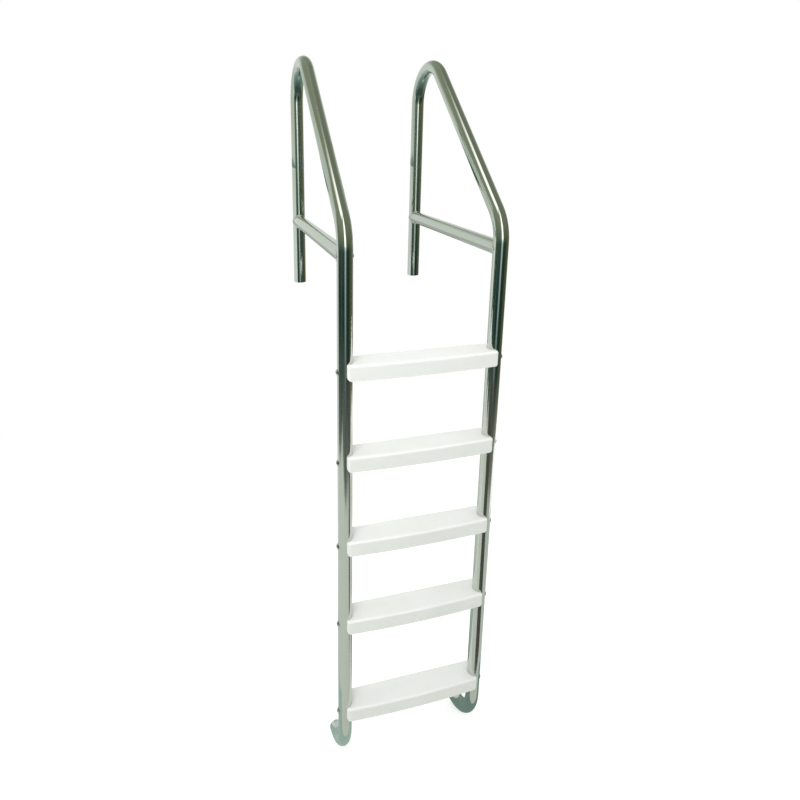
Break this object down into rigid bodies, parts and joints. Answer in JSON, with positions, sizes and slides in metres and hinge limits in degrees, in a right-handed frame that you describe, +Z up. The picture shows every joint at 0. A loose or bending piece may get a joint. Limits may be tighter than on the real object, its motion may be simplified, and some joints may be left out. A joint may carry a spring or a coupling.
{
  "type": "dock ladder",
  "caption": "Dock ladder with bent-tube side frames whose handrails loop over to deck posts, cross braces, and bowed moulded treads bolted between the rails.",
  "frame": {"origin": "centre of the left post's square-cut lower end, in the plane of the cut", "axes": "+Z up along the posts, +Y from the water towards the dock, +X from the left side frame to the right one as seen from the water"},
  "size_m": [0.5569, 0.8121, 2.5166],
  "materials": {
    "tube_steel": "polished stainless tube",
    "weld_steel": "cleaned weld",
    "bolt_steel": "satin stainless",
    "tread_plastic": "moulded white plastic"
  },
  "bodies": {
    "root": {"left_rail": "tube_steel", "left_cross_brace": "tube_steel", "left_rail_weld": "weld_steel", "left_post_weld": "weld_steel", "left_bolt_1": "bolt_steel", "left_nut_1": "bolt_steel", "left_bolt_2": "bolt_steel", "left_nut_2": "bolt_steel", "left_bolt_3": "bolt_steel", "left_nut_3": "bolt_steel", "left_bolt_4": "bolt_steel", "left_nut_4": "bolt_steel", "left_bolt_5": "bolt_steel", "left_nut_5": "bolt_steel", "right_rail": "tube_steel", "right_cross_brace": "tube_steel", "right_rail_weld": "weld_steel", "right_post_weld": "weld_steel", "right_bolt_1": "bolt_steel", "right_nut_1": "bolt_steel", "right_bolt_2": "bolt_steel", "right_nut_2": "bolt_steel", "right_bolt_3": "bolt_steel", "right_nut_3": "bolt_steel", "right_bolt_4": "bolt_steel", "right_nut_4": "bolt_steel", "right_bolt_5": "bolt_steel", "right_nut_5": "bolt_steel", "tread_1": "tread_plastic", "tread_2": "tread_plastic", "tread_3": "tread_plastic", "tread_4": "tread_plastic", "tread_5": "tread_plastic"}
  },
  "joints": []
}
